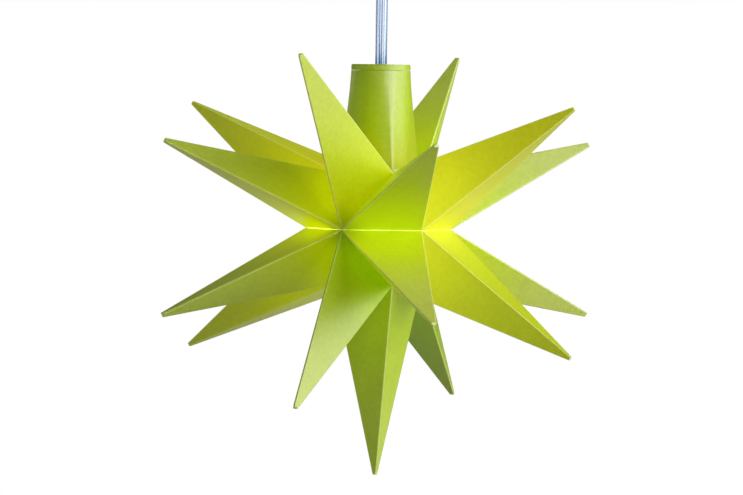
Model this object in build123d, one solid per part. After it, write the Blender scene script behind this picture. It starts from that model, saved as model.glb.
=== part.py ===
from build123d import *
import os
from math import cos, radians, sin, sqrt, tan

# A star light: 17 hollow plastic points and a neck, clipped together edge to edge, around an LED lamp unit
# that hangs on a flat twin cord from a ceiling rose.
# The origin is the middle of the ceiling plate's upper face, on the ceiling.
# +Z is up, and the star's front cap faces -Y.

# Star
tip_radius = 60.0  # from the star's centre to the end of every point
side = 16.0  # edge of the square faces, which is also the side of the six-sided ring
cap_height = 12.5  # how far the middle of a cap stands out from the ring
cap_point_angle = 44.3  # between a cap's point and the ring's axis, in degrees
tip_ball_radius = 0.55  # of the ball that a point's sides close in on, where its end is cut flat
tip_thickness = 4.0  # from the end of a point to its hollow
ridge_radius = 0.3  # rounding of the ridges and of the end's rim
wall = 0.9
joint_gap = 0.1  # between two neighbouring points
collar_depth = 3.0  # of the rim inside the star that carries the clips
peg_radius = 0.8
peg_clearance = 0.1
peg_depth = 1.6  # from the joint's outer edge to the peg's axis
peg_offset = 3.0  # from the middle of the edge to the peg, and to the hole on the other side of it

# Neck
neck_top_height = 40.0  # from the star's centre to the top of the holder cap
neck_top_radius = 7.2
neck_shoulder = 0.75  # how far its foot steps in from the ring, and how high that slope is
neck_corner_radius = 0.4  # of the corners of its square foot
neck_corner_angle = 10.0  # of the round top, where each corner runs out, in degrees
lip_thickness = 1.5

# Lamp unit
cap_flange = 1.4
cap_edge = 0.25
cap_spigot_length = 4.6
tube_wall = 1.0
tube_end_height = 0.6  # the tube's lower end, above the star's square face
fit_clearance = 0.05  # between pieces that are pressed together
turn_clearance = 0.08  # between the neck's lip and the tube, the cap and the ring
ring_lap = 0.85  # how far the retaining ring reaches under the lip
ring_gap = 0.35  # between the ring and the neck's wall
ring_thickness = 1.2
ring_groove_depth = 0.4
ring_split = 3.0
wire_radius = 0.55
wire_bend_radius = 4.0
feed_bend_radius = 1.0  # of the wires in the ceiling rose
wire_straight = 2.2  # at the ends of a wire
wire_ball_gap = 0.3
socket_thickness = 3.0
socket_lift = 2.0  # the socket's underside, above the tube's lower end
pin_radius = 0.6
pin_spacing = 3.6
pin_tail = 1.6  # above the socket
board_thickness = 1.0
chip_size = 3.0
chip_thickness = 0.6
diffuser_wall = 0.8
diffuser_drop = 14.0  # from the tube's lower end to the end of the dome
lamp_clearance = 0.35  # between the diffuser and the neck's collar

# Cord
core_diameter = 1.55
core_spacing = 1.5
cord_drop = 28.0  # from the underside of the ceiling rose to the top of the holder cap
ball_clearance = 0.08
lower_seat_clearance = 0.4  # beside the cord, where its seat is narrowest
lower_ball_lap = 0.28  # how far the ball stands out past the narrowest place of its seat
lower_seat_depth = 3.2  # from the top of the holder cap to the seat's narrowest place
star_tilt_limit = 12.0  # degrees, each way
upper_ball_radius = 3.0
upper_ball_height = 1.6  # the ball's centre above the underside of the rose

# Ceiling rose
cover_radius = 22.0
cover_height = 18.0
cover_wall = 1.6
cover_floor = 2.0
cover_edge_radius = 4.0
ceiling_gap = 0.2  # between the cover's rim and the ceiling
outlet_wall = 2.0  # round the upper ball
plate_thickness = 2.0
plate_clearance = 0.2
fixing_spacing = 28.0
fixing_hole_radius = 2.1
supply_hole_radius = 4.0
supply_hole_offset = 9.0
lug_width = 6.0
lug_length = 3.5
lug_height = 6.5
cover_screw_radius = 1.25
cover_screw_hole_clearance = 0.2
cover_screw_length = 5.0
cover_screw_head_radius = 2.2
cover_screw_head_height = 1.1
cover_screw_head_round = 0.5
screw_slot = 0.6
terminal_width = 13.0
terminal_length = 8.0
terminal_height = 8.0
terminal_gap = 0.5  # between the block and the wall round the upper ball, in plan
terminal_spacing = 5.6
sleeve_radius = 1.7
sleeve_bore = 0.9
terminal_screw_radius = 0.95
terminal_screw_head_radius = 1.4
terminal_screw_head_height = 1.2

# Places that follow from the sizes
ring_apothem = side * sqrt(3) / 2
rose_bottom = -cover_height
cap_top = rose_bottom - cord_drop
star_height = cap_top - neck_top_height
flange_bottom = cap_top - cap_flange
lip_top = flange_bottom - turn_clearance
lip_bottom = lip_top - lip_thickness
ring_top = lip_bottom - turn_clearance
square_height = star_height + ring_apothem
tube_bottom = square_height + tube_end_height
neck_bore = neck_top_radius - wall
ring_radius = neck_bore - ring_gap
lip_radius = ring_radius - ring_lap
tube_radius = lip_radius - turn_clearance
tube_bore = tube_radius - tube_wall
socket_bottom = tube_bottom + socket_lift
socket_top = socket_bottom + socket_thickness
pin_top = socket_top + pin_tail
board_bottom = socket_bottom - board_thickness
cord_width = core_spacing + core_diameter
seat_radius = cord_width / 2 + lower_seat_clearance
lower_ball_radius = seat_radius + lower_ball_lap
lower_ball_height = cap_top - lower_seat_depth - sqrt(lower_ball_radius**2 - seat_radius**2)
upper_ball_place = rose_bottom + upper_ball_height
cover_bore = cover_radius - cover_wall
plate_radius = cover_bore - plate_clearance
plate_bottom = -plate_thickness
cover_screw_height = plate_bottom - lug_height / 2
sleeve_height = plate_bottom - terminal_height / 2
outlet_radius = upper_ball_radius + outlet_wall
terminal_offset = outlet_radius + terminal_gap


# Shared

def rod(radius, bottom, top):
    """An upright cylinder between two heights."""
    return Pos(0, 0, bottom) * Cylinder(radius, top - bottom, align=(Align.CENTER, Align.CENTER, Align.MIN))


# Star

def edges_of(corners):
    """Pairs of neighbouring corners, round a face."""
    return zip(corners, corners[1:] + corners[:1])


def meeting_point(directions, distances):
    """The point that lies at the given distance along each of three directions."""
    a, b, c = directions
    total = b.cross(c) * distances[0] + c.cross(a) * distances[1] + a.cross(b) * distances[2]
    return total * (1 / a.dot(b.cross(c)))


def face_direction(corners):
    """The way a face looks, away from the star's centre."""
    return (corners[1] - corners[0]).cross(corners[2] - corners[1]).normalized()


def ring_corner(step, y):
    """A corner of the six-sided ring, counted in sixths of a turn from +X towards +Z."""
    angle = radians(60 * step)
    return Vector(side * cos(angle), y, side * sin(angle))


def square_face(step):
    """Corners of a square face, counter-clockwise from outside."""
    front = -side / 2
    back = side / 2
    return [
        ring_corner(step, front),
        ring_corner(step, back),
        ring_corner(step + 1, back),
        ring_corner(step + 1, front),
    ]


def cap_face(step, facing):
    """Corners of a cap's triangle, counter-clockwise from outside. Facing is -1 in front and 1 behind."""
    y = facing * side / 2
    middle = Vector(0, facing * (side / 2 + cap_height), 0)
    corners = [ring_corner(step, y), ring_corner(step + 1, y), middle]
    return corners if facing < 0 else corners[::-1]


def square_tip(step):
    """Direction of the point on a square."""
    angle = radians(60 * step + 30)
    return Vector(cos(angle), 0, sin(angle))


def cap_tip(step, facing):
    """Direction of the point on a cap's triangle."""
    angle = radians(60 * step + 30)
    tilt = radians(cap_point_angle)
    return Vector(sin(tilt) * cos(angle), facing * cos(tilt), sin(tilt) * sin(angle))


def side_directions(corners, tip_ball):
    """The way each side of a point looks: it holds one edge of the face and touches the ball of the tip."""
    directions = []
    for here, after in edges_of(corners):
        along = (after - here).normalized()
        reach = tip_ball - here
        reach = reach - along * reach.dot(along)
        lean = tip_ball_radius / reach.length
        inward = reach.normalized()
        directions.append(along.cross(inward) * sqrt(1 - lean**2) - inward * lean)
    return directions


def pyramid(directions, distances, axis, end):
    """A pyramid with sides that look the given ways, cut flat at its end, that reaches past the centre."""
    apex = meeting_point(directions[:3], distances[:3])
    points = []
    for before, after in zip(directions[-1:] + directions[:-1], directions):
        ridge = before.cross(after).normalized()
        outward = ridge * (1 if ridge.dot(axis) > 0 else -1)
        cut = (end - apex.dot(axis)) / outward.dot(axis)
        points += [apex + outward * cut, apex - outward * tip_radius]
    return ConvexPolyhedron(points)


def wedge(corners, inset, start, stop):
    """What lies between the joint planes of a face, drawn in by an inset, between two distances out."""
    joints = [here.cross(after).normalized() for here, after in edges_of(corners)]
    apex = meeting_point(joints[:3], [inset] * 3)
    out = face_direction(corners)
    points = []
    for distance in (start, stop):
        for corner in corners:
            points.append(apex + corner * ((distance - apex.dot(out)) / corner.dot(out)))
    return ConvexPolyhedron(points)


def outer_wedge(corners):
    """The room that one piece of the star has between its neighbours."""
    rim = corners[0].dot(face_direction(corners)) - collar_depth
    return wedge(corners, joint_gap / 2, rim, 2 * tip_radius)


def inner_wedge(corners):
    """The hollow inside a piece's collar, open towards the star's centre."""
    rim = corners[0].dot(face_direction(corners)) - collar_depth
    return wedge(corners, joint_gap / 2 + wall, rim - wall, 2 * tip_radius)


def clip(shell, corners):
    """The shell with a peg and a hole on every edge, where the neighbour has its hole and its peg."""
    length = joint_gap + 2 * wall
    for here, after in edges_of(corners):
        along = (after - here).normalized()
        middle = (here + after) * 0.5
        outward = (middle - along * middle.dot(along)).normalized()
        seat = middle - outward * peg_depth
        across = here.cross(after)
        hole = Plane(seat - along * peg_offset, z_dir=across) * Cylinder(peg_radius + peg_clearance, length)
        peg = Plane(seat + along * peg_offset, z_dir=across) * Cylinder(peg_radius, length)
        shell = shell - hole + peg
    return shell


def edges_at_end(sharp, tip_direction):
    """The ridges of a pyramid that ends at the tip radius, and the rim of its end."""
    found = []
    for edge in sharp.edges():
        reach = max(corner.center().dot(tip_direction) for corner in edge.vertices())
        if reach > tip_radius - ridge_radius:
            found.append(edge)
    return found


def star_point(corners, tip_direction):
    """One hollow point with rounded ridges, a blunt end and its collar."""
    tip_ball = tip_direction * (tip_radius - tip_ball_radius)
    directions = side_directions(corners, tip_ball)
    distances = [direction.dot(tip_ball) + tip_ball_radius for direction in directions]
    sharp = pyramid(directions, distances, tip_direction, tip_radius)
    rounded = fillet(edges_at_end(sharp, tip_direction), ridge_radius)
    hollow_distances = [distance - wall for distance in distances]
    hollow = pyramid(directions, hollow_distances, tip_direction, tip_radius - tip_thickness)
    return clip((rounded & outer_wedge(corners)) - (hollow & inner_wedge(corners)), corners)


def quarter_turns(*edges):
    """A face whose rim is four copies of the edges, a quarter turn apart."""
    return make_face([Rot(0, 0, 90 * turn) * edge for turn in range(4) for edge in edges])


def square_section(half):
    """A section of the neck's foot: a square with small round corners."""
    straight = half - neck_corner_radius
    return quarter_turns(
        Line((half, -straight), (half, straight)),
        CenterArc((straight, straight), neck_corner_radius, 0, 90),
    )


def round_section(radius):
    """The section of the neck's top: a circle, in as many pieces as the square has."""
    half_corner = neck_corner_angle / 2
    return quarter_turns(
        CenterArc((0, 0), radius, half_corner - 45, 90 - neck_corner_angle),
        CenterArc((0, 0), radius, 45 - half_corner, neck_corner_angle),
    )


def neck_form(inset, top):
    """The neck's form drawn in by an inset: a square foot with a shoulder, turning round towards its top."""
    wide = square_section(side / 2 - inset)
    narrow = square_section(side / 2 - neck_shoulder - inset)
    levels = [
        Pos(0, 0, ring_apothem - 2 * collar_depth) * wide,
        Pos(0, 0, ring_apothem) * wide,
        Pos(0, 0, ring_apothem + neck_shoulder) * narrow,
        Pos(0, 0, top) * round_section(neck_top_radius - inset),
    ]
    return loft(levels, ruled=True)


def neck():
    """The square piece that the lamp unit goes through, with the lip that it hangs by."""
    corners = square_face(1)
    top = lip_top - star_height
    lip = lip_bottom - star_height
    outside = neck_form(0, top) & outer_wedge(corners)
    below_lip = Pos(0, 0, lip) * Box(
        2 * side, 2 * side, 2 * neck_top_height, align=(Align.CENTER, Align.CENTER, Align.MAX)
    )
    hollow = neck_form(wall, top) & inner_wedge(corners) & below_lip
    bore = Pos(0, 0, top) * Cylinder(lip_radius, 3 * lip_thickness)
    return clip(outside - hollow - bore, corners)


def star_pieces():
    """The neck and the 17 points, by name."""
    pieces = {"neck": neck()}
    square_names = {
        0: "right_upper_point",
        2: "left_upper_point",
        3: "left_lower_point",
        4: "bottom_point",
        5: "right_lower_point",
    }
    for step, name in square_names.items():
        pieces[name] = star_point(square_face(step), square_tip(step))
    places = ["right_upper", "top", "left_upper", "left_lower", "bottom", "right_lower"]
    for cap, facing in (("front", -1), ("back", 1)):
        for step, place in enumerate(places):
            shell = star_point(cap_face(step, facing), cap_tip(step, facing))
            pieces[f"{cap}_{place}_point"] = shell
    return {name: Pos(0, 0, star_height) * piece for name, piece in pieces.items()}


# Lamp unit

def holder_cap():
    """The flange on the neck with a funnel for the cord, and the spigot with the lower ball's seat."""
    flange = rod(neck_top_radius, flange_bottom, cap_top)
    flange = chamfer(flange.edges().group_by(Axis.Z)[-1], cap_edge)
    spigot = rod(tube_bore - fit_clearance, flange_bottom - cap_spigot_length, flange_bottom)
    seat_height = cap_top - lower_seat_depth
    mouth_radius = seat_radius + (cap_top - lower_ball_height) * tan(radians(star_tilt_limit))
    funnel = Pos(0, 0, seat_height) * Cone(
        seat_radius, mouth_radius, lower_seat_depth, align=(Align.CENTER, Align.CENTER, Align.MIN)
    )
    chamber_radius = lower_ball_radius + ball_clearance
    chamber = Pos(0, 0, lower_ball_height) * Sphere(chamber_radius)
    chamber += rod(chamber_radius, flange_bottom - cap_spigot_length, lower_ball_height)
    return flange + spigot - funnel - chamber


def holder_tube():
    """The tube down the neck, with the groove of the retaining ring."""
    tube = rod(tube_radius, tube_bottom, flange_bottom) - rod(tube_bore, tube_bottom, flange_bottom)
    groove_top = ring_top + fit_clearance
    groove_bottom = ring_top - ring_thickness - fit_clearance
    groove = rod(ring_radius, groove_bottom, groove_top)
    groove -= rod(tube_radius - ring_groove_depth, groove_bottom, groove_top)
    return tube - groove


def retaining_ring():
    """A split ring in the tube's groove, under the neck's lip."""
    bottom = ring_top - ring_thickness
    bore = tube_radius - ring_groove_depth + fit_clearance
    split = Pos(0, ring_radius, bottom) * Box(ring_split, 2 * ring_radius, 4 * ring_thickness)
    return rod(ring_radius, bottom, ring_top) - rod(bore, bottom, ring_top) - split


def led_socket():
    """The insulating disc in the tube that holds the contact pins."""
    disc = rod(tube_bore - fit_clearance, socket_bottom, socket_top)
    for x in (-pin_spacing / 2, pin_spacing / 2):
        disc -= Pos(x, 0, 0) * rod(pin_radius + fit_clearance, socket_bottom, socket_top)
    return disc


def contact_pins():
    """Two brass pins from the wires through the socket to the board."""
    return Compound([
        Pos(x, 0, 0) * rod(pin_radius, socket_bottom, pin_top).solid()
        for x in (-pin_spacing / 2, pin_spacing / 2)
    ])


def led_board():
    """The round circuit board under the socket."""
    return rod(tube_bore - fit_clearance, board_bottom, socket_bottom)


def led_chip():
    """The light source itself, under the board."""
    return Pos(0, 0, board_bottom) * Box(
        chip_size, chip_size, chip_thickness, align=(Align.CENTER, Align.CENTER, Align.MAX)
    )


def light_diffuser():
    """A frosted dome on the tube's lower end, with a sleeve that holds the board up against the socket."""
    slope = ring_apothem / sqrt(ring_apothem**2 + (side / 2) ** 2)
    opening = side / 2 * (1 - collar_depth / ring_apothem) - (wall + joint_gap / 2) / slope
    radius = opening - lamp_clearance
    bottom = tube_bottom - diffuser_drop
    dome = rod(radius, bottom + radius, tube_bottom) + Pos(0, 0, bottom + radius) * Sphere(radius)
    inner = radius - diffuser_wall
    hollow = rod(inner, bottom + radius, tube_bottom - diffuser_wall)
    hollow += Pos(0, 0, bottom + radius) * Sphere(inner)
    sleeve_outer = tube_bore - fit_clearance
    sleeve_inner = sleeve_outer - diffuser_wall
    sleeve_top = board_bottom - fit_clearance
    sleeve = rod(sleeve_outer, tube_bottom, sleeve_top)
    return dome - hollow + sleeve - rod(sleeve_inner, tube_bottom - 2 * diffuser_wall, sleeve_top)


def wire(points, bend_radius):
    """A round wire along runs joined by arcs."""
    path = FilletPolyline(*points, radius=bend_radius)
    section = Plane(path @ 0, z_dir=path % 0) * Circle(wire_radius)
    return sweep(section, path=path)


def lamp_wire(way):
    """The core from the cord's lower ball to a contact pin, on the side that way points to."""
    core_x = way * core_spacing / 2
    pin_x = way * pin_spacing / 2
    start = lower_ball_height - sqrt(lower_ball_radius**2 - (core_spacing / 2) ** 2) - wire_ball_gap
    points = [
        (core_x, 0, start),
        (core_x, 0, start - wire_straight),
        (pin_x, 0, pin_top + wire_straight),
        (pin_x, 0, pin_top),
    ]
    return wire(points, wire_bend_radius)


# Cord

def cord():
    """The flat twin cord, from the middle of one ball to that of the other, its cores side by side in X."""
    section = Circle(core_diameter / 2)
    profile = Pos(-core_spacing / 2, 0) * section + Pos(core_spacing / 2, 0) * section
    profile += Rectangle(core_spacing, core_diameter / 2)
    return Pos(0, 0, lower_ball_height) * extrude(profile, upper_ball_place - lower_ball_height)


def upper_cord_ball():
    """The moulded ball that hangs in the outlet of the rose."""
    return Pos(0, 0, upper_ball_place) * Sphere(upper_ball_radius) - cord()


def lower_cord_ball():
    """The moulded ball that carries the holder cap."""
    return Pos(0, 0, lower_ball_height) * Sphere(lower_ball_radius) - cord()


# Ceiling rose

def ceiling_plate():
    """The plate on the ceiling, with two screw holes, the supply's hole and the cover's two lugs."""
    plate = rod(plate_radius, plate_bottom, 0)
    for x in (-fixing_spacing / 2, fixing_spacing / 2):
        plate -= Pos(x, 0, 0) * rod(fixing_hole_radius, plate_bottom, 0)
    plate -= Pos(0, -supply_hole_offset, 0) * rod(supply_hole_radius, plate_bottom, 0)
    lug = Pos(0, plate_radius, plate_bottom) * Box(
        lug_width, 2 * lug_length, lug_height, align=(Align.CENTER, Align.CENTER, Align.MAX)
    )
    lugs = (lug + lug.rotate(Axis.Z, 180)) & rod(plate_radius, plate_bottom - lug_height, plate_bottom)
    thread = Pos(0, 0, cover_screw_height) * Rot(90, 0, 0) * Cylinder(cover_screw_radius, 4 * plate_radius)
    return plate + (lugs - thread)


def ceiling_cover():
    """The cup round the plate, with the seat of the cord's upper ball in the middle of its floor."""
    cup = rod(cover_radius, rose_bottom, -ceiling_gap)
    cup = fillet(cup.edges().group_by(Axis.Z)[0], cover_edge_radius)
    inside = rod(cover_bore, rose_bottom + cover_floor, 0)
    inner_edge = inside.edges().group_by(Axis.Z)[0]
    inside = fillet(inner_edge, cover_edge_radius - cover_wall)
    boss = rod(outlet_radius, rose_bottom, upper_ball_place + upper_ball_radius)
    chamber_radius = upper_ball_radius + ball_clearance
    chamber = Pos(0, 0, upper_ball_place) * Sphere(chamber_radius)
    chamber += rod(chamber_radius, upper_ball_place, upper_ball_place + 2 * upper_ball_radius)
    hole_radius = cover_screw_radius + cover_screw_hole_clearance
    holes = Pos(0, 0, cover_screw_height) * Rot(90, 0, 0) * Cylinder(hole_radius, 4 * cover_radius)
    return cup - inside + boss - chamber - holes


def cover_screws():
    """Two slotted round-head screws through the cover into the lugs."""
    head = rod(cover_screw_head_radius, 0, cover_screw_head_height)
    head = fillet(head.edges().group_by(Axis.Z)[-1], cover_screw_head_round)
    head -= Pos(0, 0, cover_screw_head_height) * Box(
        2 * cover_screw_head_radius, screw_slot, cover_screw_head_height
    )
    shank = rod(cover_screw_radius - fit_clearance, -cover_screw_length, 0)
    screw = (head + shank).solid()
    front = Pos(0, -cover_radius, cover_screw_height) * Rot(90, 0, 0) * screw
    back = Pos(0, cover_radius, cover_screw_height) * Rot(-90, 0, 0) * screw
    return Compound([front, back])


def sleeve_places():
    """Where the two sleeves lie in the block."""
    y = terminal_offset + terminal_length / 2
    return [Pos(x, y, sleeve_height) for x in (-terminal_spacing / 2, terminal_spacing / 2)]


def terminal_block():
    """The two-way block under the plate."""
    block = Pos(0, terminal_offset, plate_bottom) * Box(
        terminal_width, terminal_length, terminal_height, align=(Align.CENTER, Align.MIN, Align.MAX)
    )
    channel = Rot(90, 0, 0) * Cylinder(sleeve_radius + fit_clearance, terminal_length)
    shaft = rod(terminal_screw_head_radius + fit_clearance, -terminal_height, 0)
    for place in sleeve_places():
        block -= place * channel
        block -= place * shaft
    return block


def terminal_sleeves():
    """Two brass sleeves, each with a thread for its clamp screw."""
    tube = Cylinder(sleeve_radius, terminal_length) - Cylinder(sleeve_bore, terminal_length)
    sleeve = Rot(90, 0, 0) * tube - rod(terminal_screw_radius, -terminal_height, 0)
    return Compound([place * sleeve.solid() for place in sleeve_places()])


def terminal_screws():
    """Two clamp screws that come up from below onto the wires."""
    tip = -wire_radius - fit_clearance
    head_top = -sleeve_radius - fit_clearance
    head_bottom = head_top - terminal_screw_head_height
    screw = rod(terminal_screw_radius - fit_clearance, head_top, tip)
    screw += rod(terminal_screw_head_radius, head_bottom, head_top)
    screw -= Pos(0, 0, head_bottom) * Box(
        2 * terminal_screw_head_radius, screw_slot, terminal_screw_head_height
    )
    return Compound([place * screw.solid() for place in sleeve_places()])


def feed_wire(way):
    """The core from the cord's upper ball to a sleeve of the block, on the side that way points to."""
    core_x = way * core_spacing / 2
    sleeve_x = way * terminal_spacing / 2
    start = upper_ball_place + sqrt(upper_ball_radius**2 - (core_spacing / 2) ** 2) + wire_ball_gap
    near = terminal_offset - wire_straight
    end = terminal_offset + terminal_length - wire_straight
    points = [
        (core_x, 0, start),
        (core_x, 0, (start + sleeve_height) / 2),
        (sleeve_x, near, sleeve_height),
        (sleeve_x, end, sleeve_height),
    ]
    return wire(points, feed_bend_radius)


pieces = {
    "ceiling_plate": ceiling_plate(),
    "ceiling_cover": ceiling_cover(),
    "cover_screws": cover_screws(),
    "terminal_block": terminal_block(),
    "terminal_sleeves": terminal_sleeves(),
    "terminal_screws": terminal_screws(),
    "feed_wire_live": feed_wire(-1),
    "feed_wire_neutral": feed_wire(1),
    "cord": cord(),
    "upper_cord_ball": upper_cord_ball(),
    "lower_cord_ball": lower_cord_ball(),
    "holder_cap": holder_cap(),
    "holder_tube": holder_tube(),
    "retaining_ring": retaining_ring(),
    "lamp_wire_live": lamp_wire(-1),
    "lamp_wire_neutral": lamp_wire(1),
    "led_socket": led_socket(),
    "contact_pins": contact_pins(),
    "led_board": led_board(),
    "led_chip": led_chip(),
    "light_diffuser": light_diffuser(),
}
pieces.update(star_pieces())

os.makedirs("parts", exist_ok=True)
for name, piece in pieces.items():
    export_step(piece, f"parts/{name}.step")
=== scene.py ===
import math

import bpy
from mathutils import Matrix, Vector


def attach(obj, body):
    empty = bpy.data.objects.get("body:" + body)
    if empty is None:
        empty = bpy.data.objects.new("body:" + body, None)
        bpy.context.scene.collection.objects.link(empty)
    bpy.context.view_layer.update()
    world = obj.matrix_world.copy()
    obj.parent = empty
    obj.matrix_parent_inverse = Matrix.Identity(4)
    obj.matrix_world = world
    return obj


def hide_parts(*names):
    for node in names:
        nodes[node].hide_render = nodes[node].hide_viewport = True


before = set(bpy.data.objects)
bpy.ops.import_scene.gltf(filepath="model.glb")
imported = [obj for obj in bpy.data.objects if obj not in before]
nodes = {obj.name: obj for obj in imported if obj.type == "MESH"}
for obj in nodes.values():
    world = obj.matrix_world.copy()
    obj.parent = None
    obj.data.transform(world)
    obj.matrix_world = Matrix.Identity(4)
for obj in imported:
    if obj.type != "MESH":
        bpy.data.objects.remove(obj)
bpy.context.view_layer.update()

# Camera, read off the photograph
picture_width = 743
picture_height = 495
star_pixel = (378.507, 228.672)
focal_pixels = 5742.8
metres_per_pixel = 0.0002436
view_turn = math.radians(26.503)  # from the star's front towards its right
view_rise = math.radians(1.326)
view_roll = math.radians(0.867)
sensor_width = 36.0

# Places in metres, with the ceiling at height zero
star_centre = Vector((0, 0, -0.086))
cap_height = -0.046  # top of the holder cap
lower_ball_height = -0.0502754
upper_ball_height = -0.0164
floor_height = -0.25
floor_half_size = 8.0
floor_fade = (0.15, 0.9)  # distance from the middle over which the floor fades into white
floor_white = (0.55, 1.0)  # share of white in the floor's middle and far out

# Cord
core_diameter = 0.00155
core_spacing = 0.0015
conductor_radius = 0.00012
# Painted shade: dark lines on the clear cord for the dark edges that its two round lobes and their
# conductors show
cord_shade_lines = (-0.00112, -0.0004, 0.00008, 0.00112)  # dark lines, across the view from the cord's middle
cord_shade_line_width = 0.00024
cord_dark_height = 0.004  # above the holder cap, over which the cord darkens
web_height = core_diameter / 2
lobe_steps = 18
conductor_steps = 16
streak_scale = 1400.0

# Lamps, seen from the star: degrees round from the camera to its right, degrees up, watts, metres across,
# and whether it shows in the plastic's sheen
lamps = {
    "key_right": (60, 8, 15.5, 1.4, True),
    "side_right": (100, 20, 3.8, 0.8, True),
    "fill_front": (0, 0, 2.6, 0.8, False),
    "fill_left": (262, -10, 4.0, 1.0, False),
    "fill_back": (195, 30, 5.0, 1.2, False),
}
lamp_distance = 1.2
backdrop_fade = (0.0, 0.7)  # cosine of the angle from the backdrop's middle, over which the backdrop appears
backdrop_sheen = 0.05  # strength of the backdrop in reflections
world_dimness = 0.03  # strength of the world everywhere else

# How each piece glows, a painted light for the lamp inside, by the start of its name: light that falls off
# with the square of the distance from the star's centre, light that falls off with the distance, and painted
# light on sides that look down, for the light that the bright bases of neighbouring points throw on them
no_glow = (0.0, 0.0, 0.0)
glows = {
    "right_upper_point": ((0.14, 0.03, 0.02), (0.57, 0.52, 0.0), no_glow),
    "right_lower_point": ((0.24, 0.03, 0.02), (0.31, 0.40, 0.0), no_glow),
    "left_upper_point": ((0.22, 0.10, 0.0), (0.42, 0.46, 0.0), no_glow),
    "left_lower_point": (no_glow, (0.36, 0.38, 0.0), no_glow),
    "bottom_point": (no_glow, (0.13, 0.21, 0.0), no_glow),
    "front_left_upper": ((0.47, 0.51, 0.0), no_glow, (0.07, 0.06, 0.0)),
    "front_left_lower": ((0.36, 0.38, 0.0), no_glow, no_glow),
    "front_right_upper": (no_glow, (0.31, 0.41, 0.0), no_glow),
    "front_right_lower": (no_glow, (0.35, 0.39, 0.0), no_glow),
    "front_top": ((0.07, 0.07, 0.0), (0.29, 0.26, 0.0), no_glow),
    "front_bottom": ((0.03, 0.17, 0.0), (0.06, 0.03, 0.0), no_glow),
    "back_top": (no_glow, (0.36, 0.46, 0.0), no_glow),
    "back_bottom": (no_glow, (0.10, 0.19, 0.0), no_glow),
    "back_": (no_glow, (0.23, 0.24, 0.0), no_glow),
    "neck": ((0.16, 0.0, 0.0), (0.02, 0.16, 0.0), no_glow),
    "holder_cap": ((0.16, 0.0, 0.0), (0.02, 0.16, 0.0), no_glow),
}

# Where the glow shows. A plane here is how far the plane of a surface lies from the star's centre
ring_size = 0.016  # corner radius of the star's six-sided ring, in which the glow's distances are counted
close_limit = 1.25  # ring sizes within which the light that falls off with the square grows no more
wide_limit = 1.7  # the same for the light that falls off with the distance
under_slope = (0.5, 0.8)  # how far a side looks down, from none of the light for such sides to all of it
pole = (0.0, 0.0205, 0.0)  # where the six points of a cap meet, from the star's centre
pole_reach = 0.008
pole_share = 0.35  # of the glow, at a pole
ridge_share = 0.95  # of the glow, on a ridge
# Painted highlight along the ridges, added to the glow
ridge_highlight_glow = (0.05, 0.05, 0.03)
tip_glow = (0.10, 0.12, 0.05)
joint_plane = 0.0005  # the faces in the joints all but pass through the star's centre
joint_slope = (0.9, 0.97)  # how far a face in a joint looks up or down, from dark to lit
joint_reach = (1.11, 1.03)  # ring sizes, from dark to lit
joint_glow = (1.0, 0.9, 0.35)

# Lime plastic
square_point_plane = 0.01008  # of the sides of a point on a square
cap_point_plane = 0.00728  # of the sides of a point on a cap
neck_plane = 0.0086  # of the neck's sides, about
ridge_planes = (1.08, 1.3)  # times the plane of the sides, from side to ridge
rim_planes = (2.4, 2.0)  # times the plane of the sides, from a blunt end's rim to ridge
tip_planes = (0.045, 0.055)  # in metres, from ridge to blunt end
neck_bulge = 1.4  # how far the shading of the neck's sides is turned outward
round_pieces = ("neck", "holder_cap")
near_lime = (0.45, 0.60, 0.001, 1.0)
far_lime = (0.48, 0.60, 0.05, 1.0)
far_yellow = (0.49, 0.60, 0.006, 1.0)
# Painted sheen: a paler, bluer far tone for the pieces that catch more of the light from the right and above
far_sheen_tone = (0.50, 0.60, 0.12, 1.0)
far_reach = (1.4, 3.2)  # ring sizes from the near tone to the far one
# pieces that get the painted sheen far out
sheen_painted_pieces = (
    "back_right_upper_point", "back_right_lower_point", "back_top_point", "front_right_lower_point",
)
# Painted highlight: the ridges' paler tone stands for the sheen and scattered light that the rounded ridges
# catch
ridge_highlight_tone = (0.60, 0.66, 0.28, 1.0)
ridge_highlight_share = 0.45
tip_tone = (0.66, 0.70, 0.40, 1.0)
lime_roughness = (0.38, 0.46)
cloud_scale = 160.0
cloud_strength = 0.03
grain_scale = 900.0
grain_strength = 0.04
grain_depth = 0.00002

# Noise, with its scales and depths in the other materials
noise_range = (0.3, 0.7)  # in which nearly all of a noise lies
noise_roughness = 0.55
flow_scale = 90.0
skin_scale = 1800.0
skin_depth = 0.000012
line_scale = 3000.0
line_depth = 0.00001
patch_scale = 260.0
speckle_scale = 40.0


# Shader helpers

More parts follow.
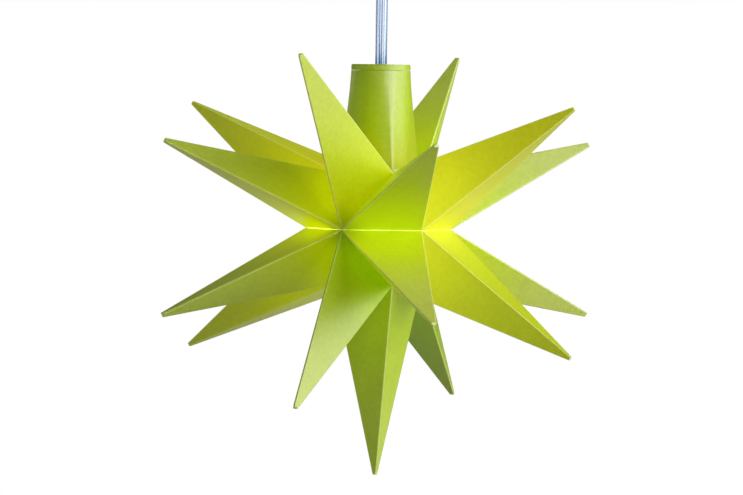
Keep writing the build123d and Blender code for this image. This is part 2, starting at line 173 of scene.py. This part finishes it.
class Paint:
    """A node tree with short calls for the nodes that the materials use."""

    def __init__(self, tree):
        self.tree = tree

    def node(self, kind, **settings):
        made = self.tree.nodes.new("ShaderNode" + kind)
        for name, value in settings.items():
            setattr(made, name, value)
        return made

    def feed(self, socket, value):
        if isinstance(value, bpy.types.NodeSocket):
            self.tree.links.new(value, socket)
        else:
            socket.default_value = value

    def math(self, operation, *values):
        made = self.node("Math", operation=operation)
        for socket, value in zip(made.inputs, values):
            self.feed(socket, value)
        return made.outputs[0]

    def vector(self, operation, *values):
        made = self.node("VectorMath", operation=operation)
        for socket, value in zip(made.inputs, values):
            self.feed(socket, value)
        return made.outputs["Value" if operation in ("DOT_PRODUCT", "LENGTH") else "Vector"]

    def fade(self, value, low, high, start=0.0, end=1.0):
        made = self.node("MapRange", interpolation_type="SMOOTHSTEP")
        for socket, number in zip(made.inputs, (value, low, high, start, end)):
            self.feed(socket, number)
        return made.outputs["Result"]

    def mix(self, factor, first, second, blend="MIX"):
        made = self.node("Mix", data_type="RGBA", blend_type=blend)
        self.feed(made.inputs["Factor"], factor)
        self.feed(made.inputs[6], first)
        self.feed(made.inputs[7], second)
        return made.outputs[2]

    def noise(self, place, scale, detail=3.0):
        made = self.node("TexNoise")
        settings = {"Vector": place, "Scale": scale, "Detail": detail, "Roughness": noise_roughness}
        for name, value in settings.items():
            self.feed(made.inputs[name], value)
        return made.outputs["Fac"]

    def spread(self, noise, low, high):
        """A noise spread over the range from a low to a high value."""
        return self.fade(noise, *noise_range, low, high)

    def stretched(self, place, stretch):
        made = self.node("Mapping")
        self.feed(made.inputs["Vector"], place)
        made.inputs["Scale"].default_value = stretch
        return made.outputs["Vector"]

    def bump(self, height, depth, normal=None):
        made = self.node("Bump")
        made.inputs["Strength"].default_value = 1.0
        made.inputs["Distance"].default_value = depth
        self.feed(made.inputs["Height"], height)
        if normal is not None:
            self.feed(made.inputs["Normal"], normal)
        return made.outputs["Normal"]


def colour(red, green, blue):
    return (red, green, blue, 1.0)


def new_material(name, **fixed):
    """A material with its Principled shader, its paint kit and its object coordinates."""
    material = bpy.data.materials.new(name)
    material.use_nodes = True
    shader = material.node_tree.nodes["Principled BSDF"]
    for socket, value in fixed.items():
        shader.inputs[socket.replace("_", " ")].default_value = value
    paint = Paint(material.node_tree)
    places = paint.node("TexCoord")
    return material, shader, paint, places


def dress(material, *names):
    """Gives CAD nodes a material."""
    for name in names:
        slots = nodes[name].material_slots
        if not slots:
            nodes[name].data.materials.append(material)
        for slot in slots:
            slot.material = material


# Lime plastic of the star

def lime_plastic(name, far_tone, plane):
    """Satin translucent plastic, paler towards the tips, with a painted highlight that makes the ridges
    paler, lit from the lamp inside by a painted glow.
    """
    material, shader, paint, places = new_material("lime_" + name, Specular_IOR_Level=0.9)
    place, normal = places.outputs["Object"], places.outputs["Normal"]
    reach = paint.vector("SUBTRACT", place, star_centre)
    distance = paint.math("DIVIDE", paint.vector("LENGTH", reach), ring_size)
    height = paint.vector("DOT_PRODUCT", reach, normal)
    ridge = paint.fade(height, plane * ridge_planes[0], plane * ridge_planes[1])
    ridge = paint.math("MULTIPLY", ridge, paint.fade(height, plane * rim_planes[0], plane * rim_planes[1]))
    tip = paint.fade(height, *tip_planes)
    cloud = paint.noise(place, cloud_scale)
    grain = paint.noise(place, grain_scale, detail=1.0)
    clouding = paint.spread(cloud, 1 - cloud_strength, 1 + cloud_strength)
    graining = paint.spread(grain, 1 - grain_strength, 1 + grain_strength)
    body = paint.mix(paint.fade(distance, *far_reach), near_lime, far_tone)
    # painted highlight: the ridges turned towards a paler tone
    body = paint.mix(paint.math("MULTIPLY", ridge, ridge_highlight_share), body, ridge_highlight_tone)
    body = paint.mix(tip, body, tip_tone)
    body = paint.mix(1.0, body, clouding, "MULTIPLY")
    body = paint.mix(1.0, body, graining, "MULTIPLY")
    paint.feed(shader.inputs["Base Color"], body)
    paint.feed(shader.inputs["Roughness"], paint.spread(grain, *lime_roughness))
    shading = rounded(paint, place, normal) if name in round_pieces else None
    paint.feed(shader.inputs["Normal"], paint.bump(grain, grain_depth, shading))
    paint.feed(shader.inputs["Emission Color"], lamp_glow(paint, name, reach, normal, ridge, tip))
    shader.inputs["Emission Strength"].default_value = 1.0
    return material


def rounded(paint, place, normal):
    """The normal turned part of the way out from the neck's axis, for its soft bulging sides."""
    outward = paint.vector("NORMALIZE", paint.vector("MULTIPLY", place, (1, 1, 0)))
    bulge = paint.vector("MULTIPLY", outward, (neck_bulge, neck_bulge, neck_bulge))
    turned = paint.node("VectorTransform", vector_type="NORMAL", convert_from="OBJECT", convert_to="WORLD")
    paint.feed(turned.inputs[0], paint.vector("NORMALIZE", paint.vector("ADD", normal, bulge)))
    return turned.outputs[0]


def lamp_glow(paint, name, reach, normal, ridge, tip):
    """The painted light through the plastic, dimmer at the poles, with a painted highlight along the ridges,
    and the brighter light in the level joints.
    """
    close, wide, under = next(glow for start, glow in glows.items() if name.startswith(start))
    distance = paint.math("DIVIDE", paint.vector("LENGTH", reach), ring_size)
    inverse = paint.math("DIVIDE", 1.0, paint.math("MAXIMUM", distance, close_limit))
    softer = paint.math("DIVIDE", 1.0, paint.math("MAXIMUM", distance, wide_limit))
    down = paint.vector("DOT_PRODUCT", normal, (0, 0, -1))
    glow = paint.vector("MULTIPLY", close, paint.math("MULTIPLY", inverse, inverse))
    glow = paint.vector("ADD", glow, paint.vector("MULTIPLY", wide, softer))
    # painted light thrown on down-looking sides by the neighbouring points' bright bases
    glow = paint.vector("ADD", glow, paint.vector("MULTIPLY", under, paint.fade(down, *under_slope)))
    to_pole = paint.vector("LENGTH", paint.vector("SUBTRACT", paint.vector("ABSOLUTE", reach), pole))
    glow = paint.vector("MULTIPLY", glow, paint.fade(to_pole, 0.0, pole_reach, pole_share, 1.0))
    glow = paint.vector("MULTIPLY", glow, paint.fade(ridge, 0.0, 1.0, 1.0, ridge_share))
    # painted highlight along the ridges
    glow = paint.vector("ADD", glow, paint.vector("MULTIPLY", ridge_highlight_glow, ridge))
    glow = paint.vector("ADD", glow, paint.vector("MULTIPLY", tip_glow, tip))
    height = paint.vector("DOT_PRODUCT", reach, normal)
    joint = paint.fade(paint.math("ABSOLUTE", height), joint_plane * 4, joint_plane)
    joint = paint.math("MULTIPLY", joint, paint.fade(paint.math("ABSOLUTE", down), *joint_slope))
    joint = paint.math("MULTIPLY", joint, paint.fade(distance, *joint_reach))
    return paint.vector("ADD", glow, paint.vector("MULTIPLY", joint_glow, joint))


def dress_star():
    """Gives the points, the neck and the cap that closes the neck a lime plastic each."""
    for name in nodes:
        if name.startswith(("front_", "back_")):
            # pieces that catch more light get the painted sheen tone far out
            tone = far_sheen_tone if name in sheen_painted_pieces else far_lime
            dress(lime_plastic(name, tone, cap_point_plane), name)
        elif name.endswith("_point"):
            tone = far_yellow if name.startswith("right_") else far_lime
            dress(lime_plastic(name, tone, square_point_plane), name)
        elif name in round_pieces:
            dress(lime_plastic(name, far_lime, neck_plane), name)


# Cord

def route_points(points):
    """Points along the smooth line that has the given points as its control points."""
    line = bpy.data.curves.new("route", "CURVE")
    line.dimensions = "3D"
    spline = line.splines.new("NURBS")
    spline.points.add(len(points) - 1)
    for point, place in zip(spline.points, points):
        point.co = (*place, 1.0)
    spline.order_u = 3
    spline.use_endpoint_u = True
    holder = bpy.data.objects.new("route", line)
    mesh = bpy.data.meshes.new_from_object(holder)
    found = [vertex.co.copy() for vertex in mesh.vertices]
    bpy.data.objects.remove(holder)
    bpy.data.meshes.remove(mesh)
    bpy.data.curves.remove(line)
    return found


def twin_outline():
    """The cord's section: two round lobes side by side in X with a web between them."""
    radius = core_diameter / 2
    start = math.asin(web_height / 2 / radius)
    outline = []
    for way in (1, -1):
        for step in range(lobe_steps + 1):
            angle = -math.pi + start + (2 * math.pi - 2 * start) * step / lobe_steps
            along = core_spacing / 2 + radius * math.cos(angle)
            outline.append((way * along, way * radius * math.sin(angle)))
    return outline


def round_outline(middle, radius):
    """A conductor's round section, with its middle moved along X."""
    angles = [2 * math.pi * step / conductor_steps for step in range(conductor_steps)]
    return [(middle + radius * math.cos(angle), radius * math.sin(angle)) for angle in angles]


def tube(name, outline, path):
    """A closed tube with the outline, given in X and Y, along an upright path."""
    count = len(outline)
    corners = [(p.x + x, p.y + y, p.z) for p in path for x, y in outline]
    faces = []
    for ring in range(len(path) - 1):
        for step in range(count):
            here = ring * count + step
            after = ring * count + (step + 1) % count
            faces.append((here, after, after + count, here + count))
    last = (len(path) - 1) * count
    faces.append(tuple(range(count))[::-1])
    faces.append(tuple(range(last, last + count)))
    mesh = bpy.data.meshes.new(name)
    mesh.from_pydata(corners, [], faces)
    for polygon in mesh.polygons:
        polygon.use_smooth = len(polygon.vertices) == 4
    made = bpy.data.objects.new(name, mesh)
    bpy.context.scene.collection.objects.link(made)
    return made


def clear_plastic():
    """Clear plastic with painted shade lines for the dark edges that the two round lobes and their
    conductors show, darkest where it enters the cap.
    """
    material, shader, paint, places = new_material("clear_cord", Transmission_Weight=1.0, IOR=1.25)
    place = places.outputs["Object"]
    split = paint.node("SeparateXYZ")
    paint.feed(split.inputs[0], place)
    sunk = paint.fade(split.outputs["Z"], cap_height + cord_dark_height, cap_height)
    across = paint.vector("DOT_PRODUCT", place, view_axes()[0])
    # painted shade lines, placed across the view
    line = 0.0
    for middle in cord_shade_lines:
        away = paint.math("ABSOLUTE", paint.math("SUBTRACT", across, middle))
        line = paint.math("MAXIMUM", line, paint.fade(away, cord_shade_line_width, cord_shade_line_width / 4))
    clear = paint.mix(sunk, colour(0.78, 0.88, 1.0), colour(0.50, 0.66, 0.88))
    dark = paint.mix(sunk, colour(0.04, 0.07, 0.14), colour(0.001, 0.008, 0.025))
    paint.feed(shader.inputs["Base Color"], paint.mix(line, clear, dark))
    streaks = paint.noise(paint.stretched(place, (1, 1, 0.02)), streak_scale)
    paint.feed(shader.inputs["Roughness"], paint.spread(streaks, 0.01, 0.04))
    return material


def tinned_wire():
    """Bright stranded wire, with the strands along the cord."""
    material, shader, paint, places = new_material("tinned_wire", Metallic=1.0, Roughness=0.15)
    place = places.outputs["Object"]
    strands = paint.noise(paint.stretched(place, (1, 1, 0.03)), line_scale)
    tone = paint.mix(strands, colour(0.62, 0.70, 0.84), colour(0.78, 0.85, 0.95))
    paint.feed(shader.inputs["Base Color"], tone)
    return material


def make_cord():
    """The clear cord with its two conductors, in place of the plain one, and the look of its end balls."""
    lower = Vector((0, 0, lower_ball_height))
    upper = Vector((0, 0, upper_ball_height))
    path = route_points([lower, (lower + upper) / 2, upper])
    insulation = tube("cord_insulation", twin_outline(), path)
    insulation.data.materials.append(clear_plastic())
    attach(insulation, "cord")
    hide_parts("cord")
    metal = tinned_wire()
    for name, way in (("conductor_live", -1), ("conductor_neutral", 1)):
        conductor = tube(name, round_outline(way * core_spacing / 2, conductor_radius), path)
        conductor.data.materials.append(metal)
        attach(conductor, "cord")
    dress(clear_plastic(), "upper_cord_ball", "lower_cord_ball")


# Ceiling rose and lamp unit

def moulded_plastic(name, tone, roughness):
    """Opaque moulded plastic with faint flow marks and a fine skin."""
    material, shader, paint, places = new_material(name, Specular_IOR_Level=0.5)
    place = places.outputs["Object"]
    flow = paint.noise(place, flow_scale)
    skin = paint.noise(place, skin_scale)
    shade = paint.spread(flow, 0.95, 1.03)
    paint.feed(shader.inputs["Base Color"], paint.mix(1.0, tone, shade, "MULTIPLY"))
    paint.feed(shader.inputs["Roughness"], paint.spread(flow, roughness - 0.05, roughness + 0.06))
    paint.feed(shader.inputs["Normal"], paint.bump(skin, skin_depth))
    return material


def plain_metal(name, tone, roughness, stretch):
    """Bare or plated metal with fine drawn lines and a patchy tone."""
    material, shader, paint, places = new_material(name, Metallic=1.0)
    place = places.outputs["Object"]
    lines = paint.noise(paint.stretched(place, stretch), line_scale)
    patches = paint.noise(place, patch_scale)
    shade = paint.spread(patches, 0.86, 1.05)
    paint.feed(shader.inputs["Base Color"], paint.mix(1.0, tone, shade, "MULTIPLY"))
    paint.feed(shader.inputs["Roughness"], paint.spread(lines, roughness - 0.08, roughness + 0.1))
    paint.feed(shader.inputs["Normal"], paint.bump(lines, line_depth))
    return material


def dress_fittings():
    """Gives the pieces of the ceiling rose and the lamp unit their plastics and metals."""
    white = moulded_plastic("white_plastic", colour(0.82, 0.82, 0.79), 0.28)
    block = moulded_plastic("block_plastic", colour(0.74, 0.74, 0.70), 0.48)
    board = moulded_plastic("board", colour(0.78, 0.78, 0.75), 0.4)
    frosted = moulded_plastic("frosted_plastic", colour(0.86, 0.86, 0.80), 0.6)
    phosphor = moulded_plastic("led", colour(0.84, 0.62, 0.06), 0.35)
    brown = moulded_plastic("brown_wire", colour(0.10, 0.035, 0.014), 0.42)
    blue = moulded_plastic("blue_wire", colour(0.02, 0.085, 0.35), 0.42)
    zinc = plain_metal("zinc_steel", colour(0.46, 0.47, 0.48), 0.36, (1, 0.08, 1))
    screws = plain_metal("screw_steel", colour(0.50, 0.50, 0.52), 0.28, (1, 1, 1))
    spring = plain_metal("spring_steel", colour(0.28, 0.29, 0.31), 0.25, (1, 1, 0.1))
    brass = plain_metal("brass", colour(0.62, 0.36, 0.08), 0.3, (1, 0.1, 1))
    dress(white, "ceiling_cover", "holder_tube")
    dress(block, "terminal_block", "led_socket")
    dress(board, "led_board")
    dress(frosted, "light_diffuser")
    dress(phosphor, "led_chip")
    dress(brown, "feed_wire_live", "lamp_wire_live")
    dress(blue, "feed_wire_neutral", "lamp_wire_neutral")
    dress(zinc, "ceiling_plate")
    dress(screws, "cover_screws", "terminal_screws")
    dress(spring, "retaining_ring")
    dress(brass, "terminal_sleeves", "contact_pins")


# Camera, floor and light

def view_axes():
    """The camera's right, up and back directions at the photograph's angle, without its roll."""
    level = math.cos(view_rise)
    back = Vector((math.sin(view_turn) * level, -math.cos(view_turn) * level, math.sin(view_rise)))
    right = Vector((math.cos(view_turn), math.sin(view_turn), 0))
    return right, back.cross(right), back


def look(place, target, up):
    """A matrix that stands at a place and looks at a target."""
    back = (place - target).normalized()
    right = up.cross(back).normalized()
    return Matrix.Translation(place) @ Matrix((right, back.cross(right), back)).transposed().to_4x4()


def make_camera():
    """A camera that sees the star as the photograph does."""
    right, up, back = view_axes()
    rolled_right = right * math.cos(view_roll) + up * math.sin(view_roll)
    rolled_up = up * math.cos(view_roll) - right * math.sin(view_roll)
    across = (picture_width / 2 - star_pixel[0]) * metres_per_pixel
    down = (picture_height / 2 - star_pixel[1]) * metres_per_pixel
    target = star_centre + rolled_right * across - rolled_up * down
    lens = bpy.data.cameras.new("photo_view")
    lens.sensor_width = sensor_width
    lens.lens = focal_pixels * sensor_width / picture_width
    camera = bpy.data.objects.new("photo_view", lens)
    camera.matrix_world = look(star_centre + back * focal_pixels * metres_per_pixel, target, rolled_up)
    bpy.context.scene.collection.objects.link(camera)
    bpy.context.scene.camera = camera


def make_lamps():
    """Round lamps about the star, which the camera doesn't see."""
    right, up, back = view_axes()
    for name, (around, above, power, size, sheen) in lamps.items():
        turn, rise = math.radians(around), math.radians(above)
        way = (right * math.sin(turn) + back * math.cos(turn)) * math.cos(rise) + up * math.sin(rise)
        lamp = bpy.data.lights.new(name, "AREA")
        lamp.shape = "DISK"
        lamp.size = size
        lamp.energy = power
        holder = bpy.data.objects.new(name, lamp)
        holder.matrix_world = look(star_centre + way * lamp_distance, star_centre, Vector((0, 0, 1)))
        holder.visible_camera = False
        holder.visible_glossy = sheen
        bpy.context.scene.collection.objects.link(holder)


def make_world():
    """White for the camera and behind clear pieces, faint in the sheen and nearly dark elsewhere."""
    world = bpy.data.worlds.new("studio")
    world.use_nodes = True
    bpy.context.scene.world = world
    paint = Paint(world.node_tree)
    sky = world.node_tree.nodes["Background"]
    rays = paint.node("LightPath")
    away = -view_axes()[2]
    direction = paint.node("TexCoord").outputs["Generated"]
    backdrop = paint.fade(paint.vector("DOT_PRODUCT", direction, away), *backdrop_fade)
    through = paint.math("MULTIPLY", rays.outputs["Is Transmission Ray"], backdrop)
    faint = paint.math("MULTIPLY", backdrop, backdrop_sheen)
    sheen = paint.math("MULTIPLY", rays.outputs["Is Glossy Ray"], faint)
    strength = paint.math("MAXIMUM", paint.math("MAXIMUM", rays.outputs["Is Camera Ray"], through), sheen)
    paint.feed(sky.inputs["Color"], colour(1.0, 1.0, 1.0))
    paint.feed(sky.inputs["Strength"], paint.math("MAXIMUM", strength, world_dimness))


def make_floor():
    """A pale floor that keeps the star's shadow and fades into the white background."""
    quarters = ((-1, -1), (1, -1), (1, 1), (-1, 1))
    corners = [(x * floor_half_size, y * floor_half_size, floor_height) for x, y in quarters]
    mesh = bpy.data.meshes.new("floor")
    mesh.from_pydata(corners, [], [(0, 1, 2, 3)])
    floor = bpy.data.objects.new("floor", mesh)
    bpy.context.scene.collection.objects.link(floor)
    material = bpy.data.materials.new("floor")
    material.use_nodes = True
    mesh.materials.append(material)
    paint = Paint(material.node_tree)
    material.node_tree.nodes.clear()
    place = paint.node("TexCoord").outputs["Object"]
    spread = paint.vector("LENGTH", paint.vector("MULTIPLY", place, (1, 1, 0)))
    paper = paint.node("BsdfDiffuse")
    speckle = paint.spread(paint.noise(place, speckle_scale), 0.78, 0.82)
    paint.feed(paper.inputs["Color"], speckle)
    white = paint.node("Emission")
    rays = paint.node("LightPath")
    far = paint.fade(spread, *floor_fade, *floor_white)
    blend = paint.node("MixShader")
    paint.feed(blend.inputs[0], paint.math("MULTIPLY", rays.outputs["Is Camera Ray"], far))
    paint.feed(blend.inputs[1], paper.outputs[0])
    paint.feed(blend.inputs[2], white.outputs[0])
    output = paint.node("OutputMaterial")
    paint.feed(output.inputs["Surface"], blend.outputs[0])
    floor.visible_diffuse = False


make_camera()
make_cord()
dress_star()
dress_fittings()
make_floor()
make_world()
make_lamps()
bpy.context.scene.view_settings.view_transform = "Standard"
